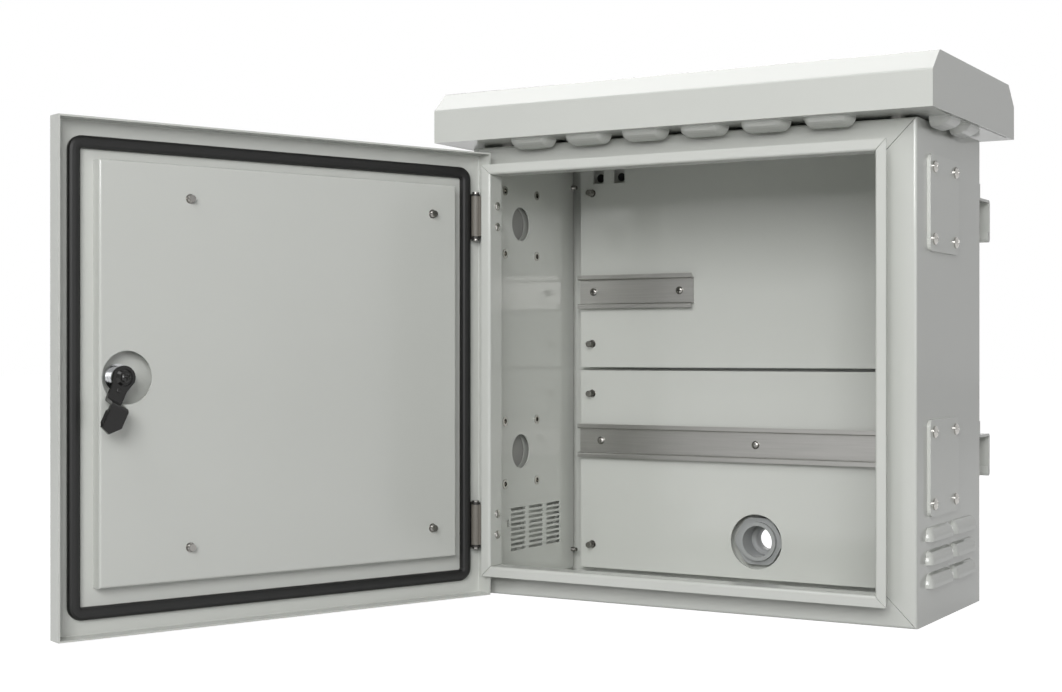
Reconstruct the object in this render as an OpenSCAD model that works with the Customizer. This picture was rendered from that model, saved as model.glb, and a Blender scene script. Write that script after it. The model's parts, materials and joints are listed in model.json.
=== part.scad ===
// Roadside utility cabinet: a folded sheet body under a vented roof hood, with its door standing open.
// Millimetres, X to the right, Y to the back, Z up. The origin is the middle of the underside.

/* [Body] */
// Width over the side walls
body_w = 440; // [400:1:600]
// Height over the top and bottom walls
body_h = 434; // [420:1:600]
// Depth from the front flange to the back wall
body_d = 192; // [185:1:320]
// Thickness of the body and door sheet
sheet = 1.5; // [1:0.1:2]
// Inside radius of the folds
bend_r = 1; // [0.6:0.1:2]
// Width of the front flange outside the rain lip
flange_w = 19.5; // [18:0.25:24]
// Width of the rain lip's face
lip_w = 9.75; // [8:0.25:12]
// Forward reach of the rain lip
lip_reach = 22; // [21:0.5:28]
// Open seam at the mitred corners of the front
seam = 0.5; // [0.2:0.1:1]

/* [Roof] */
// Overhang of the roof at the sides
roof_side = 25; // [24:0.5:45]
// Overhang of the roof at the front
roof_front = 36.5; // [34:0.5:60]
// Overhang of the roof at the back
roof_rear = 28.5; // [10:0.5:50]
// Gap between the body and the roof
roof_gap = 2.5; // [1:0.5:10]
// Height of the roof skirts
skirt_h = 31; // [20:0.5:50]
// Run of the sloped edge
slope_run = 19.5; // [10:0.5:40]
// Rise of the sloped edge
slope_rise = 18.5; // [8:0.5:40]
// Reach of the soffit inwards over the body
soffit_cover = 40; // [36:1:60]
// Width of the slit between the soffit and the end plates
slit_w = 1.2; // [0.6:0.1:2]
// Length of the closed corners beside the slit
slit_corner = 18; // [10:1:40]
// Distance of the roof bolts from the body's edges
roof_bolt_inset = 25; // [22:0.5:28]

/* [Roof louvres] */
// Length of a roof louvre's straight part
eave_len = 28; // [20:1:40]
// Run of a roof louvre from its mouth to its end
eave_run = 17; // [12:0.5:17]
// Depth of a roof louvre
eave_out = 8.5; // [5:0.5:9]
// Pitch of the roof louvres
eave_pitch = 59; // [58:1:70]
// Number of louvres along the front
eave_front_count = 6; // [1:1:6]
// Number of louvres along each side
eave_side_count = 2; // [1:1:2]
// Distance from the front flange to the front louvres' mouths
eave_front_y = 9; // [6:0.5:14]
// Distance from the side wall to the side louvres' mouths
eave_side_x = 4; // [2:0.5:5]
// Distance from the front flange to the first side louvre's middle
eave_side_y = 43.5; // [35:0.5:60]

/* [Side vents] */
// Length of a wall louvre's straight part
vent_len = 54; // [30:1:56]
// Height of a wall louvre
vent_h = 12; // [8:0.5:16]
// Depth of a wall louvre
vent_out = 6.5; // [4:0.5:7]
// Pitch of the louvre columns
vent_pitch_y = 72.5; // [72:0.5:80]
// Pitch of the louvre rows
vent_pitch_z = 20; // [18:0.5:24]
// Number of louvre rows
vent_rows = 3; // [1:1:3]
// Distance from the front flange to the middle of the louvres
vent_y = 94; // [90:0.5:98]
// Height of the lowest louvre's mouth
vent_z = 32; // [28:0.5:36]

/* [Side ports] */
// Distance from the front flange to the ports
port_y = 71.5; // [60:0.5:90]
// Height of the lower ports
port_low_z = 134.5; // [132:0.5:180]
// Height of the upper ports
port_high_z = 364; // [260:0.5:368]
// Diameter of the ports
port_d = 34; // [20:0.5:45]
// Side of the square cover plates
cover_w = 84; // [76:0.5:90]
// Thickness of the cover plates
cover_t = 3; // [1:0.1:4]
// Corner radius of the cover plates
cover_r = 6; // [2:0.5:12]
// Pitch of the cover screws
cover_pitch = 62.5; // [60:0.5:68]

/* [Side linings] */
// Gap between the wall and its lining
lining_gap = 5.5; // [4:0.25:8]
// Thickness of the linings
lining_t = 1; // [0.8:0.1:1.5]
// Inside radius of the lining's folded edges
lining_r = 3; // [1.5:0.25:4]
// Distance from the lining to the top and bottom of the body
lining_end = 5; // [4:0.5:20]
// Distance from the back wall to the lining
lining_rear = 6.5; // [2:0.5:12]
// Length of a grille slot
slot_len = 28; // [20:0.5:32]
// Height of a grille slot
slot_h = 2.8; // [2:0.1:3.5]
// Pitch of the grille columns
slot_pitch_y = 35.5; // [34:0.5:42]
// Pitch of the grille rows
slot_pitch_z = 5.05; // [4.5:0.05:6]
// Number of grille columns
slot_cols = 3; // [1:1:3]
// Number of grille rows
slot_rows = 9; // [1:1:11]
// Distance from the front flange to the middle of the grille
grille_y = 102; // [90:0.5:105]
// Height of the middle of the grille
grille_z = 56.5; // [50:0.5:65]
// Distance from the back wall to the lining studs
lining_stud_y = 14.5; // [14:0.25:20]
// Distance from the top and bottom of the body to the lining studs
lining_stud_z = 24.5; // [15:0.5:40]

/* [Mounting plates] */
// Distance from the mounting plates to the sides of the body
plate_side = 20; // [15:0.5:60]
// Thickness of the mounting plates
plate_t = 2; // [1:0.1:4]
// Distance from the back wall's inside to the plates
plate_stand = 12.5; // [8:0.5:20]
// Distance from the plates to the top and bottom of the body
plate_edge = 7; // [4:0.5:20]
// Gap between the two plates
plate_split = 3.5; // [1:0.5:20]
// Distance of the studs from the plates' side edges
stud_x = 13.5; // [10:0.5:20]
// Distance of the studs from the plates' upper and lower edges
stud_z = 24.5; // [18:0.5:34]
// Diameter of the studs
stud_d = 6; // [4:0.5:8]
// Reach of the studs past the plate
stud_reach = 9; // [3:0.5:14]
// Width of the cable notches
notch_w = 12.5; // [8:0.5:16]
// Depth of the cable notches
notch_depth = 15; // [8:0.5:18]
// Distance of the first notch from the plate's left edge
notch_x = 21; // [20:0.5:30]
// Pitch of the notches
notch_pitch = 24.8; // [20:0.2:40]

/* [Rails] */
// Width of the top-hat rails
rail_h = 35; // [30:0.5:40]
// Depth of the top-hat rails
rail_depth = 7.5; // [5:0.5:15]
// Width of the rails' back
rail_web = 27; // [20:0.5:28]
// Thickness of the rails
rail_t = 1; // [0.8:0.1:1.5]
// Length of the upper rail
upper_rail_len = 132; // [90:1:400]
// Height of the upper rail
upper_rail_z = 298; // [275:0.5:350]
// Height of the lower rail
lower_rail_z = 141.5; // [105:0.5:160]
// Distance of the upper rail's screws from its ends
upper_rail_screw = 16; // [10:0.5:30]
// Distance of the lower rail's outer screws from its ends
lower_rail_screw = 25; // [10:0.5:60]

/* [Wall brackets] */
// Thickness of the brackets
bracket_t = 2.5; // [2:0.1:4]
// Reach of the brackets behind the back wall
bracket_reach = 36; // [26:0.5:80]
// Height of the brackets' rear plates
bracket_drop = 40.5; // [38:0.5:60]
// Height of the brackets' flanges above the web
bracket_flange = 13; // [12:0.5:30]
// Height of the hem at the rear plates' lower edge
hem_h = 10; // [6:0.5:11]
// Height of the upper bracket's web
bracket_z = 380.5; // [370:0.5:385]
// Pitch of the two brackets
bracket_pitch = 224; // [200:0.5:240]
// Pitch of the bolts that hold a bracket
bracket_bolt_pitch = 200; // [120:1:260]
// Pitch of the wall fixing holes in a bracket
fix_pitch = 300; // [200:1:360]
// Diameter of the wall fixing holes
fix_d = 9; // [5:0.5:11]

/* [Cable gland] */
// Offset of the gland from the middle
gland_x = 0; // [-60:1:60]
// Height of the gland
gland_z = 44.5; // [42:0.5:60]
// Bore of the gland
gland_bore = 31.5; // [16:0.5:33]
// Diameter of the gland's thread
gland_d = 39; // [36:0.5:42]
// Width across the flats of the gland's hexagons
gland_af = 47; // [45:0.5:50]
// Thickness of the gland's locknut
gland_nut_t = 8; // [5:0.5:10]
// Reach of the gland inside the back wall
gland_in = 12; // [10.5:0.5:14]
// Reach of the gland behind the back wall
gland_out = 24; // [20:0.5:25]
// Diameter of the hole round the gland in the lower plate
gland_hole_d = 55; // [54:0.5:70]

/* [Door] */
// Angle at which the door stands open
door_open = 111; // [0:1:112]
// Distance from the door's side edges to the sides of the body
door_side = 3; // [2:0.5:4]
// Distance from the door's lower edge to the underside of the body
door_low = 1.5; // [1:0.5:5]
// Distance from the door's upper edge to the top of the body
door_high = 8; // [7.5:0.5:12]
// Depth of the door's folded edges
door_d = 18.5; // [15:0.5:19]
// Distance from the door's edge to the gasket
gasket_edge = 14; // [13.8:0.1:15]
// Width of the gasket
gasket_w = 10.5; // [8:0.5:12]
// Height of the gasket
gasket_h = 6; // [5.6:0.1:8]
// Radius of the gasket's corners along its middle
gasket_r = 7; // [6.2:0.1:10]
// Clearance between the closed door's gasket and the lip
gasket_clear = 0.3; // [0.1:0.1:1]
// Distance from the door's side edges to the inner tray
tray_side = 37; // [35:0.5:60]
// Distance from the door's lower edge to the inner tray
tray_low = 39.5; // [36:0.5:44]
// Distance from the door's upper edge to the inner tray
tray_high = 33; // [31:0.5:50]
// Depth of the inner tray
tray_d = 12; // [8:0.5:12.5]
// Thickness of the inner tray
tray_t = 1.2; // [0.8:0.1:2]
// Distance of the tray's studs from its upper and lower edges
tray_stud_z = 28.5; // [20:0.5:50]
// Distance of the tray's studs from its edge on the lock side
tray_stud_lock = 82; // [70:0.5:110]
// Distance of the tray's studs from its edge on the hinge side
tray_stud_hinge = 27.5; // [15:0.5:60]
// Diameter of the hole round the lock in the tray
lock_hole_d = 44.5; // [40:0.5:50]
// Distance from the lock to the middle of its hole in the tray
lock_hole_x = 4.5; // [0:0.5:8]

/* [Hinges] */
// Distance of the hinge axis from the outside of the left wall
hinge_inset = 13; // [12.8:0.1:13.2]
// Height of a hinge
hinge_h = 43; // [36:0.5:60]
// Pitch of the two hinges
hinge_pitch = 296.5; // [200:0.5:320]
// Diameter of the hinge pins
pin_d = 5; // [4:0.1:5.4]
// Diameter of the knuckles
knuckle_d = 8.4; // [8:0.1:8.8]
// Pitch of the screws in a hinge
hinge_screw_pitch = 20; // [16:0.5:28]

/* [Lock] */
// Distance from the door's free edge to the lock
lock_edge = 57; // [56:0.5:60]
// Angle of the cam below the horizontal
cam_angle = 65; // [64:1:90]
// Length of the cam from the lock to its tip
cam_len = 50; // [46:0.5:50]
// Width of the cam at the hub
cam_w = 20; // [18:0.5:22]
// Width of the cam's neck
cam_neck_w = 14; // [11:0.5:16]
// Length of the cam's neck, from the hub to the crank
cam_neck = 13; // [10:0.5:14]
// Width of the plate at the cam's tip
cam_tip_w = 16.5; // [14:0.5:16.5]
// Thickness of the cam
cam_t = 3; // [2:0.1:3.5]
// Length of the lock housing behind the door skin
housing_len = 13; // [13:0.5:16]
// Diameter of the lock housing
housing_d = 18; // [16:0.5:20]
// Diameter of the lock plug
plug_d = 12; // [10:0.5:13]

/* [Hidden] */
$fn = 48;
// Steps in each fold, and a margin by which cuts pass through
fold_n = 4;
cut = 1;
// Clearances: round a fastener, round a bushing, in a running pin, between parts that pass each other
hole_clear = 0.25;
fit_clear = 0.05;
run_clear = 0.05;
pass_clear = 0.3;
// Fasteners: M5 screws with dome heads, M6 bolts and nuts
screw_d = 5;
dome_d = 8;
dome_h = 2.6;
cover_dome_d = 10.4;
cover_dome_h = 3.6;
bolt_d = 6;
bolt_af = 10;
bolt_head = 4;
nut_t = 5;
thread_out = 2;

front_y = -body_d / 2;
back_y = body_d / 2;
lip_y = front_y - lip_reach;
jamb_in = flange_w + lip_w;
jamb_out = jamb_in - sheet;
back_in = back_y - sheet;
roof_z = body_h + roof_gap;
roof_hw = body_w / 2 + roof_side;
roof_y0 = front_y - roof_front;
roof_y1 = back_y + roof_rear;
lining_u = sheet + lining_gap + lining_t;
plate_y = back_in - plate_stand;
plate_w = body_w - 2 * plate_side;
plate_h = (body_h - 2 * plate_edge - plate_split) / 2;
plate_top = body_h - plate_edge;
rail_y = plate_y - plate_t;
hem_clear = 0.5;
hem_gap = 2 * bend_r + hem_clear;
bracket_in = back_y + bracket_reach - bracket_t;
door_w = body_w - 2 * door_side;
door_h = body_h - door_low - door_high;
door_z = (door_low + body_h - door_high) / 2;
skin_y = lip_y - gasket_h - gasket_clear;
skin_out = skin_y - sheet;
hinge_x = hinge_inset - body_w / 2;
hinge_y = lip_y;
lock_x = door_w / 2 - lock_edge;
lock_z = door_z;
tray_w = door_w - 2 * tray_side;
tray_h = door_h - tray_low - tray_high;
tray_z = door_low + tray_low + tray_h / 2;
cam_low = housing_len + pass_clear;
cam_high = front_y + sheet + pass_clear - skin_y;

// Folded sheet: the path runs along one face and the sheet lies on its left
function unit(v) = v / norm(v);
function left_of(v) = [-v[1], v[0]];
function way(p, i) = unit(p[i + 1] - p[i]);
function hand(p, i) = sign(cross(way(p, i - 1), way(p, i)));
function half(p, i) = acos(way(p, i - 1) * way(p, i)) / 2;
function arc(c, r, a0, a1, n) = [for (k = [0 : n]) c + r * [cos(a0 + (a1 - a0) * k / n),
    sin(a0 + (a1 - a0) * k / n)]];
function bend(p, i, t, r, off) = let(s = hand(p, i), h = half(p, i), rp = s > 0 ? r + t : r,
    l = s * left_of(way(p, i - 1)), c = p[i] - way(p, i - 1) * rp * tan(h) + l * rp,
    ra = s > 0 ? rp - off : rp + off, a0 = atan2(-l[1], -l[0]))
    arc(c, ra, a0, a0 + s * 2 * h, fold_n);
function face(p, t, r, off) = concat([p[0] + off * left_of(way(p, 0))],
    [for (i = [1 : len(p) - 2]) each bend(p, i, t, r, off)],
    [p[len(p) - 1] + off * left_of(way(p, len(p) - 2))]);
function back_to_front(v) = [for (i = [len(v) - 1 : -1 : 0]) v[i]];
function fold(p, t, r) = concat(face(p, t, r, 0), back_to_front(face(p, t, r, t)));

// Outlines: a rectangle with round corners, the section of a tray, a quarter of an ellipse
function rounded(w, h, r) = [for (q = [0 : 3]) each arc([(q == 0 || q == 3 ? 1 : -1) * (w / 2 - r),
    (q < 2 ? 1 : -1) * (h / 2 - r)], r, 90 * q, 90 * q + 90, fold_n)];
function tray_line(w, d, r) = concat([[w / 2, d]], arc([w / 2 - r, r], r, 0, -90, fold_n),
    arc([r - w / 2, r], r, -90, -180, fold_n), [[-w / 2, d]]);
function dome(a, b) = [for (k = [0 : 6]) [a * cos(15 * k), b * sin(15 * k)]];

module along_x(len) {
    rotate([90, 0, 90]) linear_extrude(len, center = true) children();
}

module rod_y(d, y0, y1) {
    translate([0, y0, 0]) rotate([-90, 0, 0]) cylinder(d = d, h = y1 - y0);
}

module rod_x(d, x0, x1) {
    translate([x0, 0, 0]) rotate([0, 90, 0]) cylinder(d = d, h = x1 - x0);
}

// A dome-headed screw: seat at z = 0, head above, shank below
module dome_screw(len, d = dome_d, h = dome_h) {
    rotate_extrude() polygon(concat([[0, 0]], dome(d / 2, h)));
    translate([0, 0, -len]) cylinder(d = screw_d, h = len + h / 2);
}

// A hexagon-headed bolt: seat at z = 0, head below, shank above
module hex_bolt(len) {
    translate([0, 0, -bolt_head]) cylinder(d = bolt_af / cos(30), h = bolt_head, $fn = 6);
    translate([0, 0, -bolt_head / 2]) cylinder(d = bolt_d, h = len + bolt_head / 2);
}

module hex_nut(t) {
    difference() {
        cylinder(d = bolt_af / cos(30), h = t, $fn = 6);
        translate([0, 0, -cut]) cylinder(d = bolt_d + 2 * fit_clear, h = t + 2 * cut);
    }
}

// A pressed louvre: x outwards from the sheet's face, y along it, z from its mouth to its end
module louvre_block(len, run, out, back) {
    rotate([90, 0, 0]) linear_extrude(len, center = true)
        polygon(concat([[-back, 0]], dome(out, run), [[-back, run]]));
    for (s = [0, 1])
        mirror([0, s, 0]) translate([0, len / 2, 0])
            rotate_extrude(angle = 90) polygon(concat([[0, 0]], dome(out, run)));
}

module louvre_hollow(len, run, out) {
    rotate([90, 0, 0]) linear_extrude(len, center = true)
        polygon(concat([[-2 * sheet, 0], [0, 0], [0, -cut], [out - sheet, -cut]],
            dome(out - sheet, run - sheet), [[-2 * sheet, run - sheet]]));
    for (s = [0, 1])
        mirror([0, s, 0]) translate([0, len / 2, 0])
            rotate_extrude(angle = 90)
                polygon(concat([[0, -cut], [out - sheet, -cut]], dome(out - sheet, run - sheet)));
}

// A wall of the body in its own frame: x inwards from its outer face, y to the back, z along it
module mitre(len, y0, y1, gap) {
    reach = jamb_in + cut;
    translate([0, y1, 0]) rotate([90, 0, 0]) linear_extrude(y1 - y0)
        polygon([[-cut, gap - len / 2 - cut], [reach, reach + gap - len / 2],
            [reach, len / 2 - reach - gap], [-cut, len / 2 + cut - gap]]);
}

module wall_panel(len) {
    path = [[0, back_y], [0, front_y], [jamb_out, front_y], [jamb_out, lip_y + sheet],
        [flange_w, lip_y + sheet]];
    intersection() {
        linear_extrude(len, center = true) polygon(fold(path, sheet, bend_r));
        union() {
            mitre(len, lip_y - cut, front_y + sheet, seam / sqrt(2));
            mitre(len, front_y + sheet, back_y + cut, 0);
        }
    }
}

module at_vents() {
    for (c = [-1, 1], r = [0 : vent_rows - 1])
        translate([0, front_y + vent_y + c * vent_pitch_y / 2, vent_z + r * vent_pitch_z])
            mirror([1, 0, 0]) children();
}

module at_ports() {
    for (z = [port_low_z, port_high_z]) translate([0, front_y + port_y, z]) children();
}

module at_cover_screws() {
    for (y = [-1, 1], z = [-1, 1]) translate([0, y * cover_pitch / 2, z * cover_pitch / 2]) children();
}

module at_hinges() {
    for (s = [-1, 1]) translate([hinge_x, hinge_y, body_h / 2 + s * hinge_pitch / 2]) children();
}

module at_hinge_screws() {
    y = (hinge_y + sheet + front_y) / 2 + sheet;
    for (s = [-1, 1], h = [-1, 1])
        translate([0, y, body_h / 2 + s * hinge_pitch / 2 + h * hinge_screw_pitch / 2]) children();
}

// A side wall in the frame of the left one, its outer face at x = 0 and its foot at z = 0
module side_wall(hinged) {
    difference() {
        union() {
            translate([0, 0, body_h / 2]) wall_panel(body_h);
            at_vents() louvre_block(vent_len, vent_h, vent_out, sheet / 2);
        }
        at_vents() louvre_hollow(vent_len, vent_h, vent_out);
        at_ports() rod_x(port_d, -cut, sheet + cut);
        at_ports() at_cover_screws() rod_x(screw_d + 2 * hole_clear, -cut, sheet + cut);
        if (hinged) at_hinge_screws() rod_x(screw_d + 2 * hole_clear, jamb_out - cut, jamb_in + cut);
    }
}

module left_side_panel() {
    color("gainsboro") translate([-body_w / 2, 0, 0]) side_wall(true);
}

module right_side_panel() {
    color("gainsboro") mirror([1, 0, 0]) translate([-body_w / 2, 0, 0]) side_wall(false);
}

module at_roof_bolts() {
    for (x = [-1, 1], y = [-1, 1])
        translate([x * (body_w / 2 - roof_bolt_inset), y * (body_d / 2 - roof_bolt_inset), 0]) children();
}

module top_panel() {
    color("gainsboro") difference() {
        translate([0, 0, body_h]) mirror([0, 0, 1]) rotate([0, -90, 0]) wall_panel(body_w);
        at_roof_bolts() translate([0, 0, body_h - sheet - cut])
            cylinder(d = bolt_d + 2 * hole_clear, h = sheet + 2 * cut);
    }
}

module bottom_panel() {
    color("gainsboro") rotate([0, -90, 0]) wall_panel(body_w);
}

module at_bracket_bolts() {
    for (z = [bracket_z, bracket_z - bracket_pitch], x = [-1, 1])
        translate([x * bracket_bolt_pitch / 2, 0, z + (bracket_flange + bend_r) / 2]) children();
}

module at_plugs() {
    for (i = [0, 1])
        translate([notch_x + i * notch_pitch - plate_w / 2 - plug_shift, 0, plate_top - notch_depth / 2])
            children();
}
// Offset of the hole plugs from the notches, and their sizes
plug_shift = 4;
plug_hole_d = 6.5;
plug_head_d = 8.5;
plug_head_t = 1.5;

module back_panel() {
    color("gainsboro") difference() {
        translate([sheet - body_w / 2, back_in, sheet]) cube([body_w - 2 * sheet, sheet, body_h - 2 * sheet]);
        translate([gland_x, 0, gland_z]) rod_y(gland_d + 2 * hole_clear, back_in - cut, back_y + cut);
        at_bracket_bolts() rod_y(bolt_d + 2 * hole_clear, back_in - cut, back_y + cut);
        at_plugs() rod_y(plug_hole_d, back_in - cut, back_y + cut);
    }
}

// Hole plugs: a black button inside, a stem through the wall and a rim outside
module back_plugs() {
    color("black") at_plugs() union() {
        rod_y(plug_head_d, back_in - plug_head_t, back_in);
        rod_y(plug_hole_d - 2 * fit_clear, back_in - plug_head_t / 2, back_y + plug_head_t / 2);
        rod_y(plug_head_d, back_y, back_y + plug_head_t);
    }
}

// A side lining in the frame of the left wall: a shallow tray with ports, a grille and a sensor slot
sensor_w = 4;
sensor_h = 7;
sensor_y = 46.5;
lining_stud_d = 4;
lining_stud_reach = 6;
rivet_d = 8;
rivet_rim_d = 9.2;
rivet_rim_t = 1;
// How far the cover screws reach past the wall, into the rivet nuts
cover_screw_in = 2;

module at_lining_studs() {
    for (z = [lining_stud_z, body_h - lining_stud_z]) translate([0, back_y - lining_stud_y, z]) children();
}

module side_lining() {
    y0 = front_y + sheet + cut;
    y1 = back_in - lining_rear;
    path = [[sheet, y0], [lining_u, y0], [lining_u, y1], [sheet, y1]];
    difference() {
        translate([0, 0, lining_end]) linear_extrude(body_h - 2 * lining_end)
            polygon(fold(path, lining_t, lining_r));
        at_ports() rod_x(port_d, sheet, lining_u + cut);
        at_ports() at_cover_screws() rod_x(rivet_d + 2 * fit_clear, sheet, lining_u + cut);
        at_lining_studs() rod_x(lining_stud_d + 2 * hole_clear, sheet + cut, lining_u + cut);
        translate([lining_u - lining_t - cut, front_y + grille_y, grille_z])
            for (c = [0 : slot_cols - 1], r = [0 : slot_rows - 1])
                translate([0, (c - (slot_cols - 1) / 2) * slot_pitch_y - slot_len / 2,
                    (r - (slot_rows - 1) / 2) * slot_pitch_z - slot_h / 2])
                    cube([lining_t + 2 * cut, slot_len, slot_h]);
        translate([lining_u - lining_t - cut, front_y + sensor_y - sensor_w / 2, grille_z + sensor_h / 2])
            cube([lining_t + 2 * cut, sensor_w, sensor_h]);
    }
}

module left_lining() {
    color("gainsboro") translate([-body_w / 2, 0, 0]) side_lining();
}

module right_lining() {
    color("gainsboro") mirror([1, 0, 0]) translate([-body_w / 2, 0, 0]) side_lining();
}

// Both sides at once: children are in the frame of the left wall
module both_sides() {
    for (s = [0, 1]) mirror([s, 0, 0]) translate([-body_w / 2, 0, 0]) children();
}

module rivet_nuts() {
    color("silver") both_sides() at_ports() at_cover_screws() difference() {
        union() {
            rod_x(rivet_d, sheet, lining_u + rivet_rim_t / 2);
            rod_x(rivet_rim_d, lining_u, lining_u + rivet_rim_t);
        }
        rod_x(screw_d + 2 * fit_clear, sheet - cut, lining_u + rivet_rim_t + cut);
    }
}

module lining_studs() {
    color("silver") both_sides() at_lining_studs() rod_x(lining_stud_d, sheet, lining_u + lining_stud_reach);
}

module cover_plate() {
    difference() {
        translate([-cover_t, 0, 0]) rotate([90, 0, 90]) linear_extrude(cover_t)
            polygon(rounded(cover_w, cover_w, cover_r));
        at_cover_screws() rod_x(screw_d + 2 * hole_clear, -cover_t - cut, cut);
    }
}

module left_upper_cover() {
    color("whitesmoke") translate([-body_w / 2, front_y + port_y, port_high_z]) cover_plate();
}

module left_lower_cover() {
    color("whitesmoke") translate([-body_w / 2, front_y + port_y, port_low_z]) cover_plate();
}

module right_upper_cover() {
    color("whitesmoke") mirror([1, 0, 0]) translate([-body_w / 2, front_y + port_y, port_high_z]) cover_plate();
}

module right_lower_cover() {
    color("whitesmoke") mirror([1, 0, 0]) translate([-body_w / 2, front_y + port_y, port_low_z]) cover_plate();
}

module cover_screws() {
    color("silver") both_sides() at_ports() at_cover_screws()
        translate([-cover_t, 0, 0]) rotate([0, -90, 0])
            dome_screw(cover_t + sheet + cover_screw_in, cover_dome_d, cover_dome_h);
}

// The mounting plates stand off the back wall on weld studs with collars
collar_d = 12;
stud_hole_d = 8.5;

module at_studs(z0) {
    for (x = [-1, 1], z = [stud_z, plate_h - stud_z])
        translate([x * (plate_w / 2 - stud_x), 0, z0 + z]) children();
}

module at_rail_screws() {
    for (s = [upper_rail_screw, upper_rail_len - upper_rail_screw])
        translate([s - plate_w / 2, 0, upper_rail_z]) children();
    for (s = [-1, 0, 1])
        translate([s * (plate_w / 2 - lower_rail_screw), 0, lower_rail_z]) children();
}

module mounting_plate(z0) {
    difference() {
        translate([-plate_w / 2, rail_y, z0]) cube([plate_w, plate_t, plate_h]);
        at_studs(z0) rod_y(stud_hole_d, rail_y - cut, plate_y + cut);
        at_rail_screws() rod_y(screw_d + 2 * fit_clear, rail_y - cut, plate_y + cut);
        children();
    }
}

module upper_plate() {
    color("gainsboro") mounting_plate(plate_edge + plate_h + plate_split)
        for (i = [0, 1])
            translate([notch_x + i * notch_pitch - (plate_w + notch_w) / 2, rail_y - cut,
                plate_top - notch_depth])
                cube([notch_w, plate_t + 2 * cut, notch_depth + cut]);
}

module lower_plate() {
    color("gainsboro") mounting_plate(plate_edge)
        translate([gland_x, 0, gland_z]) rod_y(gland_hole_d, rail_y - cut, plate_y + cut);
}

module plate_studs() {
    color("silver") for (z0 = [plate_edge, plate_edge + plate_h + plate_split])
        at_studs(z0) union() {
            rod_y(collar_d, plate_y, back_in);
            rod_y(stud_d, rail_y - stud_reach, back_in);
        }
}

// A top-hat rail, its back on the mounting plate
module rail(len) {
    path = [[-rail_h / 2, rail_depth - rail_t], [-rail_web / 2, rail_depth - rail_t], [-rail_web / 2, 0],
        [rail_web / 2, 0], [rail_web / 2, rail_depth - rail_t], [rail_h / 2, rail_depth - rail_t]];
    rotate([180, 0, 0]) rotate([0, 90, 0]) linear_extrude(len, center = true)
        polygon(fold(path, rail_t, rail_t / 2));
}

module upper_rail() {
    color("silver") difference() {
        translate([(upper_rail_len - plate_w) / 2, rail_y, upper_rail_z]) rail(upper_rail_len);
        at_rail_screws() rod_y(screw_d + 2 * hole_clear, rail_y - rail_t - cut, rail_y + cut);
    }
}

module lower_rail() {
    color("silver") difference() {
        translate([0, rail_y, lower_rail_z]) rail(plate_w);
        at_rail_screws() rod_y(screw_d + 2 * hole_clear, rail_y - rail_t - cut, rail_y + cut);
    }
}

module rail_screws() {
    color("silver") at_rail_screws() translate([0, rail_y - rail_t, 0]) rotate([90, 0, 0])
        dome_screw(rail_t + plate_t + thread_out);
}

// Cable gland through the back wall: a threaded tube with a collar and a domed clamping end outside
seal_t = 1.5;
gland_collar = 7;
gland_cone = 5;
// How far the hexagons' rounded corners stand out past the flats, over the width
gland_round = 3.8;

module hexagon_y(af, y0, y1) {
    translate([0, y0, 0]) rotate([-90, 0, 0]) intersection() {
        cylinder(d = af / cos(30), h = y1 - y0, $fn = 6);
        translate([0, 0, -cut]) cylinder(d = af + gland_round, h = y1 - y0 + 2 * cut);
    }
}

module gland_body() {
    y0 = back_y + seal_t;
    color("gray") translate([gland_x, 0, gland_z]) difference() {
        union() {
            rod_y(gland_d, back_in - gland_in, back_y + gland_out - gland_cone);
            hexagon_y(gland_af, y0, y0 + gland_collar);
            translate([0, back_y + gland_out - gland_cone - cut, 0]) rotate([-90, 0, 0])
                cylinder(d1 = gland_d, d2 = (gland_d + gland_bore) / 2, h = gland_cone + cut);
        }
        rod_y(gland_bore, back_in - gland_in - cut, back_y + gland_out + cut);
    }
}

module gland_locknut() {
    color("gray") translate([gland_x, 0, gland_z]) difference() {
        hexagon_y(gland_af, back_in - gland_nut_t, back_in);
        rod_y(gland_d + 2 * fit_clear, back_in - gland_nut_t - cut, back_in + cut);
    }
}

module gland_seal() {
    color("black") translate([gland_x, 0, gland_z]) difference() {
        rod_y(gland_af, back_y, back_y + seal_t);
        rod_y(gland_d + 2 * fit_clear, back_y - cut, back_y + seal_t + cut);
    }
}

// A hook bracket: a flange on the back wall, a web to the back, a rear plate with its edge hemmed to the front
module bracket(z) {
    web = z - bracket_t;
    low = z - bracket_drop + bracket_t;
    path = [[back_y, z + bracket_flange], [back_y, web], [bracket_in, web], [bracket_in, low],
        [bracket_in - hem_gap, low], [bracket_in - hem_gap, z - bracket_drop + hem_h]];
    difference() {
        along_x(body_w) polygon(fold(path, bracket_t, bend_r));
        at_bracket_bolts() rod_y(bolt_d + 2 * hole_clear, back_y - cut, back_y + bracket_t + cut);
        for (x = [-1, 1]) translate([x * fix_pitch / 2, 0, z - bracket_drop / 2])
            rod_y(fix_d, bracket_in - cut, bracket_in + bracket_t + cut);
    }
}

module upper_bracket() {
    color("gainsboro") bracket(bracket_z);
}

module lower_bracket() {
    color("gainsboro") bracket(bracket_z - bracket_pitch);
}

module bracket_bolts() {
    color("silver") at_bracket_bolts() translate([0, back_in, 0]) rotate([-90, 0, 0])
        hex_bolt(sheet + bracket_t + nut_t + thread_out);
}

module bracket_nuts() {
    color("silver") at_bracket_bolts() translate([0, back_y + bracket_t, 0]) rotate([-90, 0, 0]) hex_nut(nut_t);
}

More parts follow.
